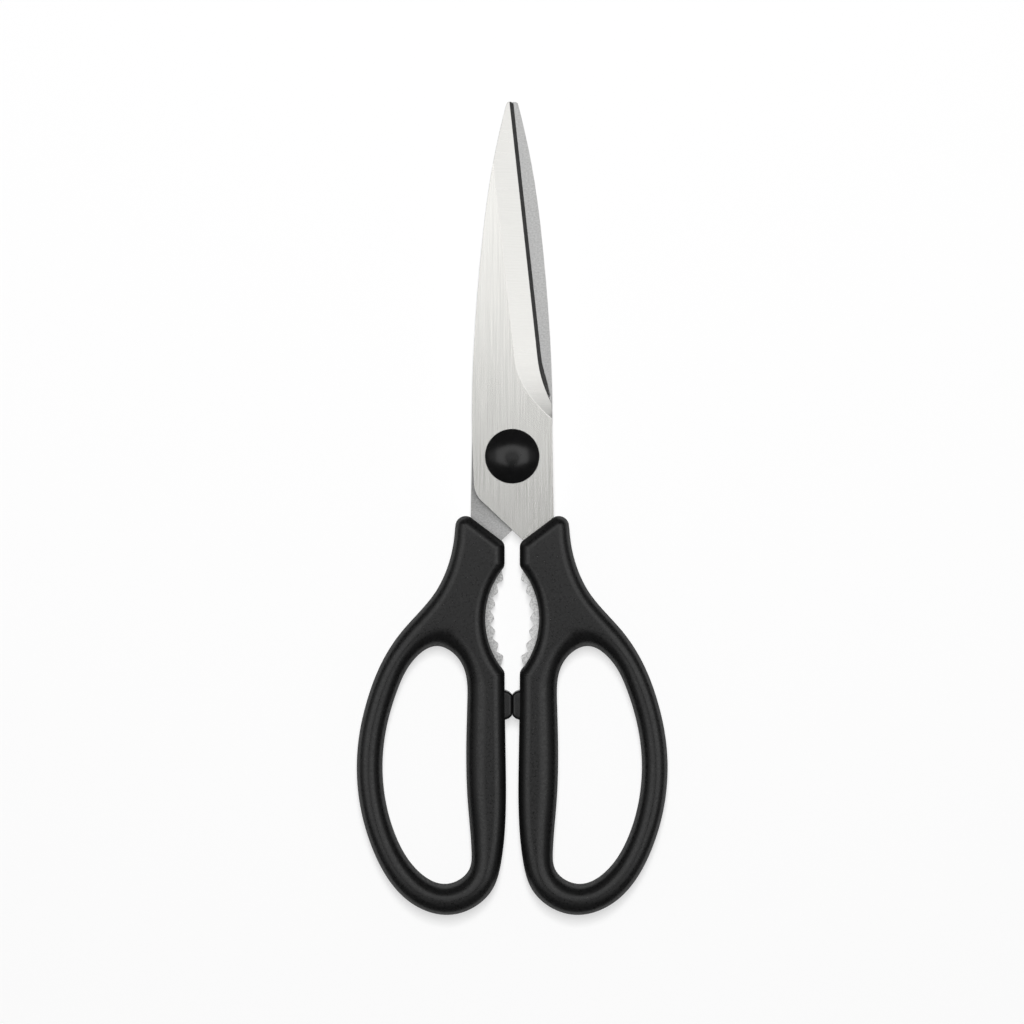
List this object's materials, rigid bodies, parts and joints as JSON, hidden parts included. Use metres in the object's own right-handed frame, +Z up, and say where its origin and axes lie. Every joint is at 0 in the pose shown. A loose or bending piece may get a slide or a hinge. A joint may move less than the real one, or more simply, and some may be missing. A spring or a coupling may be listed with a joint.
{
  "type": "kitchen shears",
  "caption": "Kitchen shears with ground blades, a capped take-apart pivot, a toothed jaw between soft-skinned loop handles, and rubber bumpers that stop them when closed.",
  "frame": {"origin": "under the middle of the closed shears, on the surface they lie on", "axes": "+Y along the shears towards the blade tips, +X to the right seen from the capped side, +Z up through the pivot towards the cap"},
  "size_m": [0.0848, 0.222, 0.0127],
  "materials": {
    "blade_steel": "brushed along the flat, ground across the bevel",
    "stud_steel": "turned",
    "washer_steel": "turned",
    "cap_plastic": "fine satin black",
    "core_plastic": "moulded, hidden",
    "grip_rubber": "fine matte black",
    "bumper_rubber": "smooth matte black"
  },
  "bodies": {
    "rear_half": {"rear_blade": "blade_steel", "rear_core": "core_plastic", "rear_grip": "grip_rubber", "rear_bumper": "bumper_rubber"},
    "front_half": {"front_blade": "blade_steel", "pivot_stud": "stud_steel", "rivet_washer": "washer_steel", "pivot_cap": "cap_plastic", "front_core": "core_plastic", "front_grip": "grip_rubber", "front_bumper": "bumper_rubber"}
  },
  "joints": [
    {"name": "blades_open", "type": "hinge", "parent": "rear_half", "child": "front_half", "pos_m": [0, 0.01411, 0.00635], "axis": [0, 0, 1], "range_deg": [0, 100]}
  ]
}
